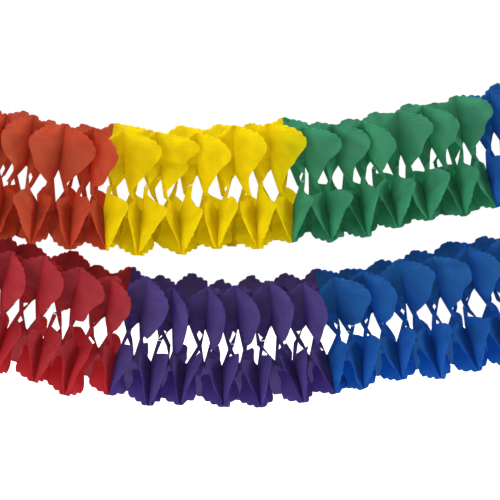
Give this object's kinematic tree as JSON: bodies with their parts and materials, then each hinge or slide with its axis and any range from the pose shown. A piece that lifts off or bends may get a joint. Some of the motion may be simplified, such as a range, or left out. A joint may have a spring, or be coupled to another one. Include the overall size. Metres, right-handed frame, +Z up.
{
  "type": "paper garland",
  "caption": "Rainbow tissue-paper garland of folded four-petalled leaves, hung in two swags joined by a tight turn, with a punched card on each end.",
  "frame": {"origin": "centre of the hanging hole in the upper end card, on the card's inner face", "axes": "+X to the viewer's right along the swags, +Z up, -Y towards the viewer"},
  "size_m": [0.9054, 0.1788, 0.4059],
  "materials": {
    "blue_tissue": "matte",
    "green_tissue": "matte",
    "yellow_tissue": "matte",
    "orange_tissue": "matte",
    "red_tissue": "matte",
    "purple_tissue": "matte",
    "end_card": "matte"
  },
  "bodies": {
    "root": {"blue_section_upper": "blue_tissue", "green_section": "green_tissue", "yellow_section": "yellow_tissue", "orange_section": "orange_tissue", "red_section": "red_tissue", "purple_section": "purple_tissue", "blue_section_lower": "blue_tissue", "upper_end_card": "end_card", "lower_end_card": "end_card"}
  },
  "joints": []
}
